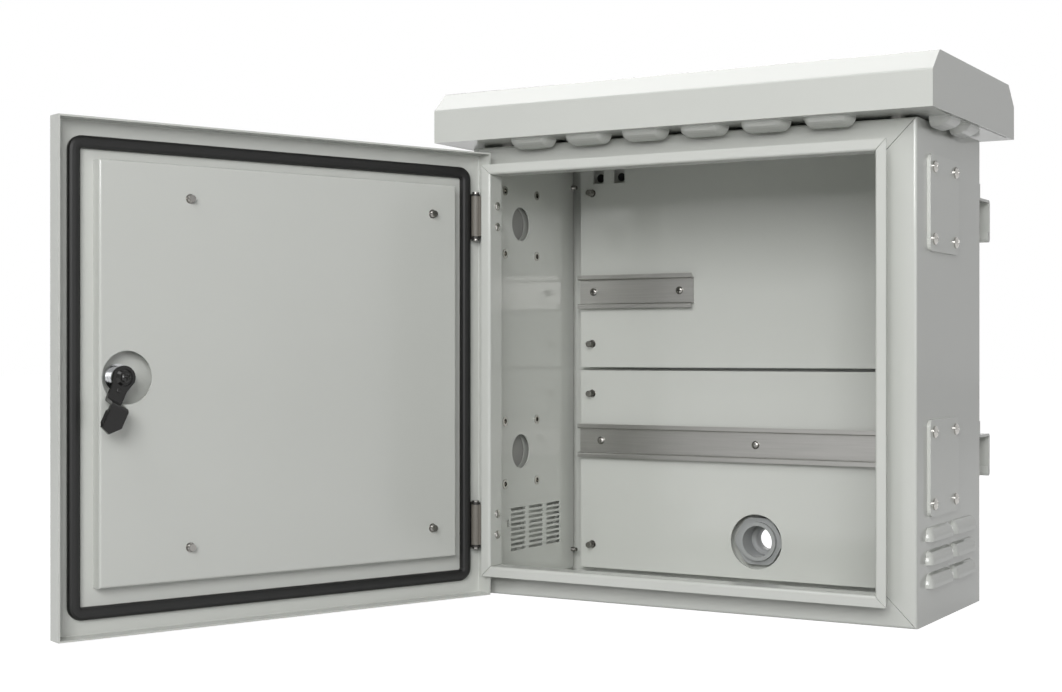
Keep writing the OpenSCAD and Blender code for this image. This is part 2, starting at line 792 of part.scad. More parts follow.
// The roof hood: skirts, slopes and top folded from one sheet, with a flat plate at each end
module roof_hood() {
    z1 = roof_z + skirt_h;
    z2 = z1 + slope_rise;
    path = [[roof_y1, roof_z], [roof_y1, z1], [roof_y1 - slope_run, z2], [roof_y0 + slope_run, z2],
        [roof_y0, z1], [roof_y0, roof_z]];
    color("gainsboro") union() {
        along_x(2 * roof_hw - 2 * sheet) polygon(fold(path, sheet, bend_r));
        for (s = [-1, 1]) translate([s * (roof_hw - sheet / 2), 0, 0])
            along_x(sheet) polygon(face(path, sheet, bend_r, 0));
    }
}

module at_eaves() {
    for (i = [0 : eave_front_count - 1])
        translate([(i - (eave_front_count - 1) / 2) * eave_pitch, front_y - eave_front_y, roof_z])
            rotate([90, 90, 0]) children();
    for (s = [0, 1], i = [0 : eave_side_count - 1])
        mirror([s, 0, 0])
            translate([body_w / 2 + eave_side_x, front_y + eave_side_y + i * eave_pitch, roof_z])
            rotate([0, 90, 0]) children();
}

module roof_soffit() {
    y0 = roof_y0 + sheet;
    y1 = roof_y1 - sheet;
    hw = roof_hw - sheet;
    open = [body_w - 2 * soffit_cover, body_d - 2 * soffit_cover];
    color("gainsboro") difference() {
        union() {
            translate([-hw, y0, roof_z]) cube([2 * hw, y1 - y0, sheet]);
            at_eaves() louvre_block(eave_len, eave_run, eave_out, sheet / 2);
        }
        at_eaves() louvre_hollow(eave_len, eave_run, eave_out);
        translate([-open[0] / 2, -open[1] / 2, roof_z - cut]) cube([open[0], open[1], sheet + 2 * cut]);
        for (s = [0, 1]) mirror([s, 0, 0]) translate([hw - slit_w, y0 + slit_corner, roof_z - cut])
            cube([slit_w + cut, y1 - y0 - 2 * slit_corner, sheet + 2 * cut]);
        at_roof_bolts() translate([0, 0, roof_z - cut])
            cylinder(d = bolt_d + 2 * hole_clear, h = sheet + 2 * cut);
    }
}

module roof_spacers() {
    color("silver") at_roof_bolts() translate([0, 0, body_h]) difference() {
        cylinder(d = 2 * bolt_af, h = roof_gap);
        translate([0, 0, -cut]) cylinder(d = bolt_d + 2 * hole_clear, h = roof_gap + 2 * cut);
    }
}

module roof_bolts() {
    color("silver") at_roof_bolts() translate([0, 0, body_h - sheet])
        hex_bolt(roof_gap + 2 * sheet + nut_t + thread_out);
}

module roof_nuts() {
    color("silver") at_roof_bolts() translate([0, 0, roof_z + sheet]) hex_nut(nut_t);
}

// Hinges, in a frame at the hinge axis: the knuckle and its web on the body, two ears on the door
ear_t = 2;
ear_step = 1.2;
leaf_t = 2;
pin_head_t = 1.5;
web_clear = 1;
web_y0 = sheet + web_clear;
// Flat front of the knuckle's strap, which ends beside the lip
strap_y = -pass_clear;
strap_w = flange_w - hinge_inset - pass_clear;
knuckle_h = hinge_h - 2 * ear_t - 2 * pass_clear;
leaf_end = jamb_out - hinge_inset;

module hinge_body_leaves() {
    color("dimgray") difference() {
        at_hinges() translate([0, 0, -knuckle_h / 2]) difference() {
            union() {
                cylinder(d = knuckle_d, h = knuckle_h);
                translate([0, strap_y, 0]) cube([strap_w, web_y0 + leaf_t - strap_y, knuckle_h]);
                translate([0, web_y0, 0]) cube([leaf_end, leaf_t, knuckle_h]);
                translate([leaf_end - leaf_t, web_y0, 0])
                    cube([leaf_t, lip_reach - web_y0 - 2 * sheet, knuckle_h]);
            }
            translate([0, 0, -cut]) cylinder(d = pin_d + 2 * run_clear, h = knuckle_h + 2 * cut);
        }
        translate([-body_w / 2, 0, 0]) at_hinge_screws()
            rod_x(screw_d + 2 * fit_clear, jamb_out - leaf_t - cut, jamb_out + cut);
    }
}

module hinge_pins() {
    color("silver") at_hinges() union() {
        cylinder(d = pin_d, h = hinge_h + 2 * pass_clear + pin_head_t, center = true);
        for (s = [0, 1]) mirror([0, 0, s]) translate([0, 0, hinge_h / 2 + pass_clear])
            cylinder(d = pin_d + pin_head_t, h = pin_head_t);
    }
}

module hinge_screws() {
    color("silver") translate([-body_w / 2 + jamb_in, 0, 0]) at_hinge_screws() rotate([0, 90, 0])
        dome_screw(sheet + leaf_t);
}

// The door's pieces are drawn shut and turned open about the hinge axis
module on_door() {
    translate([hinge_x, hinge_y, 0]) rotate([0, 0, -door_open]) translate([-hinge_x, -hinge_y, 0]) children();
}

module tray_block(w, h, d, r) {
    intersection() {
        linear_extrude(h, center = true) polygon(tray_line(w, d, r));
        rotate([0, 90, 0]) linear_extrude(w, center = true) polygon(tray_line(h, d, r));
    }
}

module open_tray(w, h, d, t) {
    difference() {
        tray_block(w, h, d, bend_r + t);
        translate([0, t, 0]) tray_block(w - 2 * t, h - 2 * t, d, bend_r);
    }
}

// Height and depth of the notches round the hinges in the door's folded edge
hinge_notch_gap = 2;
hinge_notch_h = hinge_h + 2 * pin_head_t + 2 * hinge_notch_gap;
hinge_notch_y = -3;

module door_panel() {
    color("gainsboro") on_door() difference() {
        translate([0, skin_out, door_z]) open_tray(door_w, door_h, door_d, sheet);
        at_hinges() translate([-hinge_x - door_w / 2 - cut, hinge_notch_y, -hinge_notch_h / 2])
            cube([sheet + 2 * cut, door_d, hinge_notch_h]);
        translate([lock_x, 0, lock_z]) rod_y(housing_d + 2 * hole_clear, skin_out - cut, skin_y + cut);
    }
}

// Flats round the gasket's crown
crown_steps = 6;

module door_gasket() {
    w = door_w - 2 * gasket_edge - gasket_w;
    h = door_h - 2 * gasket_edge - gasket_w;
    hw = gasket_w / 2;
    turns = [for (k = [0 : crown_steps]) 180 * k / crown_steps];
    section = concat([[-hw, 0], [hw, 0]], [for (a = turns) [hw * cos(a), gasket_h / 2 * (1 + sin(a))]]);
    color("black") on_door() translate([0, skin_y, door_z]) rotate([-90, 0, 0]) union() {
        for (s = [-1, 1]) translate([0, s * h / 2, 0]) along_x(w - 2 * gasket_r) polygon(section);
        for (s = [-1, 1]) translate([s * w / 2, 0, 0]) rotate([90, 0, 0])
            linear_extrude(h - 2 * gasket_r, center = true) polygon(section);
        for (q = [0 : 3])
            translate([(q == 0 || q == 3 ? 1 : -1) * (w / 2 - gasket_r),
                (q < 2 ? 1 : -1) * (h / 2 - gasket_r), 0])
                rotate([0, 0, 90 * q]) rotate_extrude(angle = 90) translate([gasket_r, 0]) polygon(section);
    }
}

module at_tray_studs() {
    for (x = [tray_w / 2 - tray_stud_lock, tray_stud_hinge - tray_w / 2], s = [-1, 1])
        translate([x, 0, tray_z + s * (tray_h / 2 - tray_stud_z)]) children();
}

module door_tray() {
    color("gainsboro") on_door() difference() {
        translate([0, skin_y + tray_d, tray_z]) rotate([0, 0, 180]) open_tray(tray_w, tray_h, tray_d, tray_t);
        at_tray_studs() rod_y(stud_hole_d, skin_y, skin_y + tray_d + cut);
        translate([lock_x - lock_hole_x, 0, lock_z]) rod_y(lock_hole_d, skin_y, skin_y + tray_d + cut);
    }
}

module door_studs() {
    color("silver") on_door() at_tray_studs() union() {
        rod_y(collar_d, skin_y, skin_y + tray_d - tray_t);
        rod_y(stud_d, skin_y, skin_y + tray_d + stud_reach / 2);
    }
}

module hinge_door_leaves() {
    base_y = skin_y - hinge_y;
    x0 = door_side + sheet + bend_r + pass_clear - hinge_inset;
    x1 = door_side + gasket_edge - hinge_inset - 2 * pass_clear;
    ear_w = knuckle_d - ear_step;
    color("dimgray") on_door() at_hinges() difference() {
        union() {
            translate([x0, base_y, -hinge_h / 2]) cube([x1 - x0, leaf_t - pass_clear, hinge_h]);
            for (z = [-hinge_h / 2, hinge_h / 2 - ear_t]) {
                translate([0, 0, z]) cylinder(d = knuckle_d, h = ear_t);
                translate([-ear_w / 2, base_y, z]) cube([ear_w, -base_y, ear_t]);
            }
        }
        cylinder(d = pin_d + 2 * run_clear, h = hinge_h + 2 * cut, center = true);
    }
}

// The lock, in a frame at its axis: z from the skin's inner face into the cabinet
module at_lock() {
    on_door() translate([lock_x, skin_y, lock_z]) rotate([-90, 0, 0]) children();
}
head_t = 3;
head_rim = 3;
head_d = housing_d + 2 * head_rim;
lock_nut_t = 4;
lock_nut_rim = 2.5;
lock_nut_d = housing_d + 2 * lock_nut_rim;
drive_w = 7;
plug_lead = 0.5;
// Key slot in the plug's outer face
key_w = 2;
key_h = 7;
key_depth = 14;
// Slope of the cam's crank
cam_crank = 75;

module lock_housing() {
    color("silver") at_lock() difference() {
        union() {
            translate([0, 0, -sheet - head_t]) cylinder(d = head_d, h = head_t);
            translate([0, 0, -sheet - head_t / 2])
                cylinder(d = housing_d, h = housing_len + sheet + head_t / 2);
        }
        translate([0, 0, -sheet - head_t - cut])
            cylinder(d = plug_d + 2 * run_clear, h = housing_len + sheet + head_t + 2 * cut);
    }
}

module lock_nut() {
    color("silver") at_lock() difference() {
        cylinder(d = lock_nut_d, h = lock_nut_t);
        translate([0, 0, -cut]) cylinder(d = housing_d + 2 * fit_clear, h = lock_nut_t + 2 * cut);
    }
}

// The plug turns in the housing, with a square drive for the cam and a key slot outside
module lock_plug() {
    z0 = plug_lead - sheet - head_t;
    color("dimgray") at_lock() rotate([0, 0, cam_angle]) difference() {
        union() {
            translate([0, 0, z0]) cylinder(d = plug_d, h = cam_low - z0);
            translate([-drive_w / 2, -drive_w / 2, cam_low - cut]) cube([drive_w, drive_w, cam_t + cut]);
        }
        translate([0, 0, cam_low]) cylinder(d = screw_d + 2 * fit_clear, h = cam_t + cut);
        translate([-key_h / 2, -key_w / 2, z0 - cut]) cube([key_h, key_w, key_depth + cut]);
    }
}

// The cam: a boss at the hub, a neck, a crank, and a pointed plate that reaches behind the front flange.
// A ramp along the plate's leading edge guides it behind the flange
cam_boss_h = 2.4;
cam_point = 3;
cam_bevel = 8.5;
cam_ramp_w = 2.6;
ramp_root = 0.4;
cam_ramp = 25;

module lock_cam() {
    hub = cam_w / 2;
    tip = cam_tip_w / 2;
    neck = cam_neck_w / 2;
    c0 = hub + cam_neck;
    c1 = c0 + (cam_high - cam_low) * tan(90 - cam_crank);
    side = [[-hub - cut, cam_low], [c0, cam_low], [c1, cam_high], [cam_len + cut, cam_high]];
    plan = concat([[0, -hub], [hub, -neck], [c0, -neck], [c1, -tip], [cam_len - cam_point, -tip], [cam_len, 0],
        [cam_len - cam_bevel, tip], [c1, tip], [c0, neck], [hub, neck]], arc([0, 0], hub, 90, 270, 12));
    ramp = [[c1 + cam_t, 0], [cam_len - cam_point, 0], [cam_len - 2 * cam_point, -cam_ramp_w],
        [c1 + 2 * cam_t, -cam_ramp_w]];
    color("dimgray") at_lock() rotate([0, 0, cam_angle]) difference() {
        union() {
            intersection() {
                rotate([90, 0, 0]) linear_extrude(cam_w + 2 * cut, center = true)
                    polygon(fold(side, cam_t, bend_r));
                linear_extrude(cam_high + cam_t + cut) polygon(plan);
            }
            translate([0, 0, cam_low + cam_t / 2])
                cylinder(d1 = cam_w - cam_t, d2 = dome_d + cam_t, h = cam_t / 2 + cam_boss_h);
            translate([0, ramp_root - tip, cam_high + ramp_root]) rotate([-cam_ramp, 0, 0])
                linear_extrude(cam_t - ramp_root) polygon(ramp);
        }
        translate([-drive_w / 2 - fit_clear, -drive_w / 2 - fit_clear, cam_low - cut])
            cube([drive_w + 2 * fit_clear, drive_w + 2 * fit_clear, cam_t + cut]);
        cylinder(d = screw_d + 2 * fit_clear, h = cam_high);
    }
}

module cam_screw() {
    color("silver") at_lock() translate([0, 0, cam_low + cam_t + cam_boss_h]) dome_screw(cam_t + cam_boss_h);
}

left_side_panel();
right_side_panel();
top_panel();
bottom_panel();
back_panel();
left_lining();
right_lining();
rivet_nuts();
lining_studs();
left_upper_cover();
left_lower_cover();
right_upper_cover();
right_lower_cover();
cover_screws();
upper_plate();
lower_plate();
plate_studs();
upper_rail();
lower_rail();
rail_screws();
back_plugs();
gland_body();
gland_locknut();
gland_seal();
upper_bracket();
lower_bracket();
bracket_bolts();
bracket_nuts();
roof_hood();
roof_soffit();
roof_spacers();
roof_bolts();
roof_nuts();
hinge_body_leaves();
hinge_pins();
hinge_screws();
door_panel();
door_gasket();
door_tray();
door_studs();
hinge_door_leaves();
lock_housing();
lock_nut();
lock_plug();
lock_cam();
cam_screw();
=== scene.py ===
# %% [markdown]
# The roadside cabinet as a studio picture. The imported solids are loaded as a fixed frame. Everything below
# gives them their finishes, adds the fine pieces that are too small for the solids, and sets the camera and
# the light.

# %% Load the frame
import bmesh
import bpy
import json
import math
from mathutils import Matrix, Vector


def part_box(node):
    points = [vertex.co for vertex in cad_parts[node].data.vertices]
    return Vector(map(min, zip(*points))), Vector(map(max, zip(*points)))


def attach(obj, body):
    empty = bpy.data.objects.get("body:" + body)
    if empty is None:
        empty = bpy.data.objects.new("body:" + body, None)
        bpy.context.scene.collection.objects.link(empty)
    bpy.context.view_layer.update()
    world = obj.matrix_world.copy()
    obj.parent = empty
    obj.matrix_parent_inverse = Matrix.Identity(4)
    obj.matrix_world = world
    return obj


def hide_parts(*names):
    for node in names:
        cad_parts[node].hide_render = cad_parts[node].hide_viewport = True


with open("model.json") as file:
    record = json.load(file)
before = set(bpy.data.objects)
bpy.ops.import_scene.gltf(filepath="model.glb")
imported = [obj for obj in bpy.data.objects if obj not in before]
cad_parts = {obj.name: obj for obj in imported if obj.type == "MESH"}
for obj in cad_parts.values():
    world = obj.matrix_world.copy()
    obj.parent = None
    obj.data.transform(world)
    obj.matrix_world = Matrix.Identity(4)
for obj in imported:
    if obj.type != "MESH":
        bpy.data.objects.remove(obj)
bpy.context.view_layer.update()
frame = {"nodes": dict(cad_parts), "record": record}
nodes = frame["nodes"]
record = frame["record"]
MM = 0.001

# %% [markdown]
# The camera stands to the right of the door opening, level with the middle of the cabinet. It could be
# tilted to centre the cabinet, but then the upright edges would lean. It is held level instead, and a small
# shift puts the horizon where it belongs.

# %% Camera
IMAGE_W, IMAGE_H = 1062, 692
FOCAL_PX = 1680.3
HORIZON_PX = 351.14
camera_data = bpy.data.cameras.new("camera")
camera_data.sensor_width = 36.0
camera_data.lens = FOCAL_PX / IMAGE_W * camera_data.sensor_width
camera_data.shift_y = (HORIZON_PX - IMAGE_H / 2) / IMAGE_W
camera_data.clip_end = 60.0
camera = bpy.data.objects.new("camera", camera_data)
camera.location = (0.65834, -1.48552, 0.23560)
camera.rotation_euler = (math.pi / 2, 0.0, 0.5312)
bpy.context.scene.collection.objects.link(camera)
bpy.context.scene.camera = camera
print("lens:", round(camera_data.lens, 2))

# %% [markdown]
# Colours are written as sRGB hex values, the way a paint chart gives them, and turned to linear light once.
# One function adds a shader node, sets its properties and fills or links its inputs, so that a material
# below reads as a list of what it is made of.

# %% Colour and node helpers
def srgb(code):
    channels = [int(code[i:i + 2], 16) / 255 for i in (1, 3, 5)]
    return tuple(c / 12.92 if c <= 0.04045 else ((c + 0.055) / 1.055) ** 2.4 for c in channels) + (1.0,)


def add(tree, kind, settings=None, inputs=None):
    made = tree.nodes.new(kind)
    for name, value in (settings or {}).items():
        setattr(made, name, value)
    for name, value in (inputs or {}).items():
        if isinstance(value, bpy.types.NodeSocket):
            tree.links.new(value, made.inputs[name])
        else:
            made.inputs[name].default_value = value
    return made


def new_material(name):
    made = bpy.data.materials.new(name)
    made.use_nodes = True
    made.node_tree.nodes.clear()
    return made, made.node_tree


PER_M = 1000.0
print("mid grey in linear light:", round(srgb("#808080")[0], 3))

# %% [markdown]
# Polyester powder coat in light grey. Baked powder flows out to a skin that is smooth but never flat: a
# shallow orange peel some 3 mm across breaks up reflections, and the gloss wanders a little with it. A slow
# cloud in the colour stands for the uneven thickness. A plain shader would do for the colour, but the
# reflections of the rails in the side lining need the peel.

# %% Powder coat
CLOUD_MM = 140
PEEL_MM = 3.2


def powder_coat(name, colour, shade, roughness):
    made, tree = new_material(name)
    place = add(tree, "ShaderNodeTexCoord").outputs["Object"]
    cloud = add(tree, "ShaderNodeTexNoise", inputs={
        "Vector": place, "Scale": PER_M / CLOUD_MM, "Detail": 3.0, "Roughness": 0.5})
    tint = add(tree, "ShaderNodeMix", {"data_type": "RGBA"},
               {"Factor": cloud.outputs["Fac"], "A": srgb(colour), "B": srgb(shade)})
    peel = add(tree, "ShaderNodeTexNoise", inputs={
        "Vector": place, "Scale": PER_M / PEEL_MM, "Detail": 2.0, "Roughness": 0.55})
    gloss = add(tree, "ShaderNodeMapRange", inputs={
        "Value": peel.outputs["Fac"], "From Min": 0.3, "From Max": 0.7,
        "To Min": roughness - 0.02, "To Max": roughness + 0.03})
    bump = add(tree, "ShaderNodeBump", inputs={
        "Height": peel.outputs["Fac"], "Strength": 0.02, "Distance": 0.4 * MM})
    shader = add(tree, "ShaderNodeBsdfPrincipled", inputs={
        "Base Color": tint.outputs["Result"], "Roughness": gloss.outputs["Result"],
        "Normal": bump.outputs["Normal"], "IOR": 1.6})
    add(tree, "ShaderNodeOutputMaterial", inputs={"Surface": shader.outputs[0]})
    return made


coat = powder_coat("powder_coat_light_grey", "#D3D5D0", "#CFD1CC", 0.12)
cover_coat = powder_coat("powder_coat_cover_plates", "#D5D7D2", "#D2D4CF", 0.2)
print("powder coats:", coat.name, cover_coat.name)

# %% [markdown]
# Plated steels: dull zinc on the rolled rails, bright zinc on the fasteners, nickel on the screws of the
# covers and hinges, and chrome on the lock. Rolling leaves fine streaks along a strip, so for the rails the
# noise is stretched along X, the way they run. Real streaks are about 0.2 mm wide, and they are drawn wider
# here so that they show.

# %% Plated steels
STREAK_MM = 1.4
EVEN = (1.0, 1.0, 1.0)
ALONG_X = (0.03, 1.0, 1.0)


def plated_steel(name, colour, shade, roughness, streak=EVEN):
    made, tree = new_material(name)
    place = add(tree, "ShaderNodeTexCoord").outputs["Object"]
    lay = add(tree, "ShaderNodeMapping", inputs={"Vector": place, "Scale": streak})
    grain = add(tree, "ShaderNodeTexNoise", inputs={
        "Vector": lay.outputs["Vector"], "Scale": PER_M / STREAK_MM, "Detail": 4.0})
    tint = add(tree, "ShaderNodeMix", {"data_type": "RGBA"},
               {"Factor": grain.outputs["Fac"], "A": srgb(colour), "B": srgb(shade)})
    gloss = add(tree, "ShaderNodeMapRange", inputs={
        "Value": grain.outputs["Fac"], "To Min": roughness - 0.07, "To Max": roughness + 0.09})
    bump = add(tree, "ShaderNodeBump", inputs={
        "Height": grain.outputs["Fac"], "Strength": 0.08, "Distance": 0.2 * MM})
    shader = add(tree, "ShaderNodeBsdfPrincipled", inputs={
        "Base Color": tint.outputs["Result"], "Metallic": 1.0, "Roughness": gloss.outputs["Result"],
        "Normal": bump.outputs["Normal"]})
    add(tree, "ShaderNodeOutputMaterial", inputs={"Surface": shader.outputs[0]})
    return made


rail_zinc = plated_steel("zinc_plated_rail", "#BDBCB9", "#A9A8A5", 0.34, ALONG_X)
fastener_zinc = plated_steel("bright_zinc_fasteners", "#A6A4A0", "#94928E", 0.16)
screw_nickel = plated_steel("nickel_plated_cover_screws", "#CFCDC8", "#BFBDB9", 0.11)
lock_chrome = plated_steel("chrome_plated_lock", "#DADBDC", "#CFD0D1", 0.12)
print("steels: 4")

# %% [markdown]
# Rubber, nylon, foam and the thin coatings of the cam and the hinges have one make-up: a colour, a satin
# and a fine grain. Closed-cell rubber has tiny pores, nylon takes the texture of a spark-eroded mould, and
# foam is the dullest. The real grain is finer than a pixel, so it is drawn some ten times as coarse.

# %% Rubber, nylon and coatings
def moulded(name, colour, shade, roughness, grain_mm, bump_strength):
    made, tree = new_material(name)
    place = add(tree, "ShaderNodeTexCoord").outputs["Object"]
    grain = add(tree, "ShaderNodeTexNoise", inputs={"Vector": place, "Scale": PER_M / grain_mm, "Detail": 3.0})
    tint = add(tree, "ShaderNodeMix", {"data_type": "RGBA"},
               {"Factor": grain.outputs["Fac"], "A": srgb(colour), "B": srgb(shade)})
    gloss = add(tree, "ShaderNodeMapRange", inputs={
        "Value": grain.outputs["Fac"], "To Min": roughness - 0.06, "To Max": roughness + 0.08})
    bump = add(tree, "ShaderNodeBump", inputs={
        "Height": grain.outputs["Fac"], "Strength": bump_strength, "Distance": 0.3 * MM})
    shader = add(tree, "ShaderNodeBsdfPrincipled", inputs={
        "Base Color": tint.outputs["Result"], "Roughness": gloss.outputs["Result"],
        "Normal": bump.outputs["Normal"], "IOR": 1.5})
    add(tree, "ShaderNodeOutputMaterial", inputs={"Surface": shader.outputs[0]})
    return made


gasket_rubber = moulded("closed_cell_rubber", "#151514", "#0E0E0E", 0.5, 0.9, 0.25)
gland_nylon = moulded("grey_nylon_gland", "#A8AAAA", "#A0A2A2", 0.42, 0.7, 0.12)
plug_nylon = moulded("black_nylon_plugs", "#1A1A19", "#121212", 0.4, 0.7, 0.1)
gloss_black = moulded("gloss_black_cam", "#1D1C1B", "#161514", 0.13, 0.7, 0.02)
hinge_coat = moulded("satin_coated_hinge", "#7C7871", "#716D66", 0.45, 1.2, 0.05)
# A darker copy of the hinge coat: painted shade for the door's hinge leaves, which sit in the shadowed gap by
# the door edge.
hinge_leaf_painted_shade = moulded("hinge_coat_painted_shade", "#33312E", "#292725", 0.45, 1.2, 0.05)
# Grey foam for the port pads, set darker than the coat: partly the foam's own colour, partly painted shade for
# the dim ports.
port_pad_painted_shade = moulded("foam_seal_with_painted_shade", "#A3A3A0", "#999996", 0.7, 1.1, 0.2)
print("moulded and coated: 7")

# %% [markdown]
# Every solid already says in the record which kind of finish it has. A table turns that into a material, so
# a new solid needs no line of its own. Two nodes differ from the rest of their kind: the hinge leaves on
# the door take a darker copy of the hinge coat, which is painted shade for the shadowed gap by the door edge,
# and the rivet nuts are as bright as the screws that run into them.

# %% Finishes on the solids
finish_of_slot = {
    "paint": coat, "cover_paint": cover_coat, "rail_steel": rail_zinc, "fastener_steel": fastener_zinc,
    "black_rubber": gasket_rubber, "black_plastic": plug_nylon, "grey_plastic": gland_nylon,
    "hinge_metal": hinge_coat, "lock_chrome": lock_chrome, "dark_steel": gloss_black}
for part in record["subparts"]:
    mesh = nodes[part["node"]].data
    mesh.materials.clear()
    mesh.materials.append(finish_of_slot[part["material_slot"]])
# The door's hinge leaves take the darker copy of the hinge coat, as painted shade.
nodes["hinge_door_leaves"].data.materials[0] = hinge_leaf_painted_shade
nodes["rivet_nuts"].data.materials[0] = screw_nickel
print("dressed:", len(record["subparts"]))

# %% [markdown]
# Small fasteners have a drive recess and a thread that the solids leave out. Each one could be placed by
# typed numbers, but here it is found in its own solid, so that it always sits where the solid sits. A node
# that holds several screws falls apart into islands of joined points.

# %% Islands of a node
def islands(node):
    bm = bmesh.new()
    bm.from_mesh(nodes[node].data)
    bmesh.ops.remove_doubles(bm, verts=bm.verts, dist=1e-6)
    seen, found = set(), []
    for start in bm.verts:
        if start in seen:
            continue
        seen.add(start)
        group, front = [], [start]
        while front:
            vert = front.pop()
            group.append(vert.co.copy())
            near = [edge.other_vert(vert) for edge in vert.link_edges if edge.other_vert(vert) not in seen]
            seen.update(near)
            front.extend(near)
        found.append(group)
    bm.free()
    return found


print("cover screws found:", len(islands("cover_screws")))

# %% [markdown]
# A screw points out of the sheet that it holds. Turning its points until that direction is up gives its
# length and its width at once, and the same turn, set at the tip, places the finer piece.

# %% Reach of an island along its axis
def along(points, out):
    turn = Vector(out).to_track_quat("Z", "Y").to_matrix()
    local = [turn.transposed() @ p for p in points]
    low = Vector([min(p[i] for p in local) for i in range(3)])
    high = Vector([max(p[i] for p in local) for i in range(3)])
    foot = turn @ Vector(((low.x + high.x) / 2, (low.y + high.y) / 2, low.z))
    return Matrix.Translation(foot) @ turn.to_4x4(), high.z - low.z, high.x - low.x


RAIL_OUT = (0, -1, 0)
print("rail screw length in mm:", round(along(islands("rail_screws")[0], RAIL_OUT)[1] / MM, 2))

# %% [markdown]
# Every new piece ends the same way: its normals point outwards, its curved faces are shaded smooth up to a
# sharp edge, and it rides on the body of the real piece, so that it turns with the door or the lock.

# %% From a bmesh to a riding piece
def piece_from(bm, name, body, finish, sharp=0.6):
    bmesh.ops.recalc_face_normals(bm, faces=bm.faces)
    mesh = bpy.data.meshes.new(name)
    bm.to_mesh(mesh)
    bm.free()
    mesh.shade_smooth()
    mesh.set_sharp_from_angle(angle=sharp)
    mesh.materials.append(finish)
    made = bpy.data.objects.new(name, mesh)
    bpy.context.scene.collection.objects.link(made)
    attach(made, body)
    print(name, len(mesh.polygons), "faces on", body)
    return made


# %% [markdown]
# Pan-head screws with a cross recess. A head could be spun from a profile and cut by a boolean, but here it
# starts as a flat grid: the square is rounded to a disc, raised to a dome, and the squares that form a
# cross are pushed in with the sides pulled along. The rim is then drawn down to the seat, in to the shank,
# and along the shank. That keeps the mesh clean, with no slivers from a cut.

# %% Cross-recess screw
CELLS = 13
CROWN_FALL = 0.86
RECESS_DEPTH = 0.62
RECESS_RISE = 0.45


def only(kind, parts):
    return [part for part in parts if isinstance(part, kind)]


def cross_screw(bm, place, head_r, head_h, shank_r, length, cells_out):
    verts = bmesh.ops.create_grid(bm, x_segments=CELLS, y_segments=CELLS, size=1.0)["verts"]
    arm, reach = 1.0 / CELLS, 2.0 * cells_out / CELLS
    cross = []
    for face in dict.fromkeys(face for vert in verts for face in vert.link_faces):
        middle = face.calc_center_median()
        across, far = sorted((abs(middle.x), abs(middle.y)))
        if across < arm and far < reach:
            cross.append(face)
    for vert in verts:
        x, y = vert.co.x, vert.co.y
        disc = Vector((x * math.sqrt(1 - y * y / 2), y * math.sqrt(1 - x * x / 2), 0.0))
        crown = math.sqrt(max(0.0, 1 - CROWN_FALL * disc.length_squared))
        vert.co = (disc.x * head_r, disc.y * head_r, length + head_h * crown)
    rim = [edge for vert in verts for edge in vert.link_edges if edge.is_boundary]
    sunk = only(bmesh.types.BMVert, bmesh.ops.extrude_face_region(bm, geom=cross)["geom"])
    for vert in sunk:
        taper = 1 - RECESS_RISE * (vert.co.xy.length / head_r)
        vert.co.z -= RECESS_DEPTH * head_h * taper
    done = list(verts) + sunk
    for radius, height in ((head_r, length), (shank_r, length), (shank_r, 0.0)):
        drawn = bmesh.ops.extrude_edge_only(bm, edges=list(dict.fromkeys(rim)))["geom"]
        ring, rim = only(bmesh.types.BMVert, drawn), only(bmesh.types.BMEdge, drawn)
        for vert in ring:
            flat = vert.co.xy.normalized() * radius
            vert.co = (flat.x, flat.y, height)
        done += ring
    bmesh.ops.contextual_create(bm, geom=rim)
    bmesh.ops.transform(bm, matrix=place, verts=[vert for vert in dict.fromkeys(done) if vert.is_valid])


print("recess: a cross on a grid of", CELLS, "cells")

# %% [markdown]
# The finer screws stand in for their solids, which are hidden. The covers and the hinges have shallow
# crosses in bright heads, the rails have larger ones, and the cam is held by a black screw that turns with
# the lock.

# %% Screws on the covers, rails, hinges and cam
SHANK_R = 2.5 * MM
PAN_H = 2.6 * MM
COVER_HEAD_H = 3.6 * MM
WIDE_CROSS, SMALL_CROSS = 3.5, 2.5
lock_turn = next(joint for joint in record["behaviour"]["joints"] if joint["name"] == "lock_turn")
lock_axis = Vector(lock_turn["axis"])


def dress_screws(node, body, out_of, head_h, finish, cells_out):
    bm = bmesh.new()
    for points in islands(node):
        middle = sum(points, Vector()) / len(points)
        place, reach, head_d = along(points, out_of(middle))
        cross_screw(bm, place, head_d / 2, head_h, SHANK_R, reach - head_h, cells_out)
    made = piece_from(bm, node + "_detail", body, finish)
    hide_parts(node)


def sideways(middle):
    return (math.copysign(1.0, middle.x), 0, 0)


dress_screws("cover_screws", "cabinet", sideways, COVER_HEAD_H, screw_nickel, SMALL_CROSS)
dress_screws("rail_screws", "cabinet", lambda middle: RAIL_OUT, PAN_H, fastener_zinc, WIDE_CROSS)
dress_screws("hinge_screws", "cabinet", lambda middle: (1, 0, 0), PAN_H, screw_nickel, SMALL_CROSS)
dress_screws("cam_screw", "lock", lambda middle: lock_axis, PAN_H, gloss_black, WIDE_CROSS)

# %% [markdown]
# The cam's neck carries a small square boss, the mark that shows a locksmith which way the cam points. A
# cube is squashed flat, its upper and upright edges are bevelled, and it is set down on the neck in the
# cam's own directions. Bevelling before it is turned keeps all the bevels alike.

